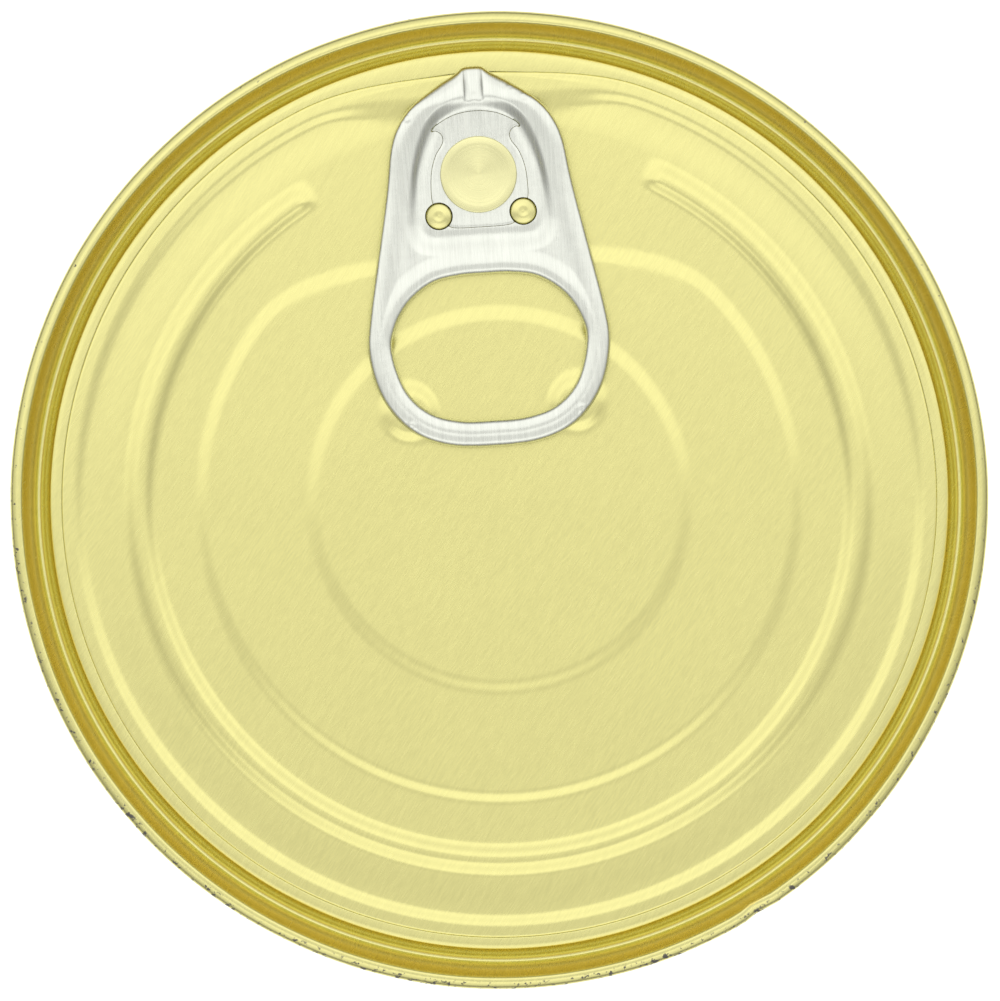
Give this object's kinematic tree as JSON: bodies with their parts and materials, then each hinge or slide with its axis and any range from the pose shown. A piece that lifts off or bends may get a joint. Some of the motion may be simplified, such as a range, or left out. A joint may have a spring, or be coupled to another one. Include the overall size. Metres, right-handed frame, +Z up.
{
  "type": "tennis ball can",
  "caption": "Clear upright tennis ball can with a label sleeve, a gold seamed easy-open metal end with a ring pull, and a stack of felt balls inside.",
  "frame": {"origin": "centre of the standing ring under the base, on the surface that the can stands on", "axes": "+Z up the can's axis to the metal end, +Y from the can's axis towards the ring pull's nose, +X to the right of it"},
  "size_m": [0.0762, 0.0762, 0.21],
  "materials": {
    "clear_plastic": "gloss",
    "label_film": "satin",
    "gold_rim": "satin",
    "gold_panel": "satin",
    "pull_metal": "satin",
    "sealing_rubber": "matte",
    "ball_felt": "matte",
    "seam_rubber": "matte",
    "core_rubber": "matte"
  },
  "bodies": {
    "can": {"can_body": "clear_plastic", "label_sleeve": "label_film", "end_ring": "gold_rim", "sealing_compound": "sealing_rubber"},
    "panel": {"tear_panel": "gold_panel", "rivet_tongue": "pull_metal"},
    "pull": {"ring_pull": "pull_metal"},
    "ball_1": {"ball_1_core_lower": "core_rubber", "ball_1_core_upper": "core_rubber", "ball_1_felt_a": "ball_felt", "ball_1_felt_b": "ball_felt", "ball_1_seam": "seam_rubber"},
    "ball_2": {"ball_2_core_lower": "core_rubber", "ball_2_core_upper": "core_rubber", "ball_2_felt_a": "ball_felt", "ball_2_felt_b": "ball_felt", "ball_2_seam": "seam_rubber"},
    "ball_3": {"ball_3_core_lower": "core_rubber", "ball_3_core_upper": "core_rubber", "ball_3_felt_a": "ball_felt", "ball_3_felt_b": "ball_felt", "ball_3_seam": "seam_rubber"}
  },
  "joints": [
    {"name": "panel_open", "type": "hinge", "parent": "can", "child": "panel", "pos_m": [0, -0.03414, 0.207], "axis": [1, 0, 0], "range_deg": [0, 95]},
    {"name": "pull_lift", "type": "hinge", "parent": "panel", "child": "pull", "pos_m": [0, 0.0337, 0.20755], "axis": [-1, 0, 0], "range_deg": [0, 90]},
    {"name": "ball_1_slide", "type": "slide", "parent": "can", "child": "ball_1", "axis": [0, 0, 1], "range_m": [0, 0.0022]},
    {"name": "ball_2_slide", "type": "slide", "parent": "can", "child": "ball_2", "axis": [0, 0, 1], "range_m": [0, 0.0022]},
    {"name": "ball_3_slide", "type": "slide", "parent": "can", "child": "ball_3", "axis": [0, 0, 1], "range_m": [0, 0.0022]}
  ],
  "couplings": [
    {"joint": "ball_2_slide", "follows": "ball_1_slide", "ratio": 1},
    {"joint": "ball_3_slide", "follows": "ball_1_slide", "ratio": 1}
  ]
}
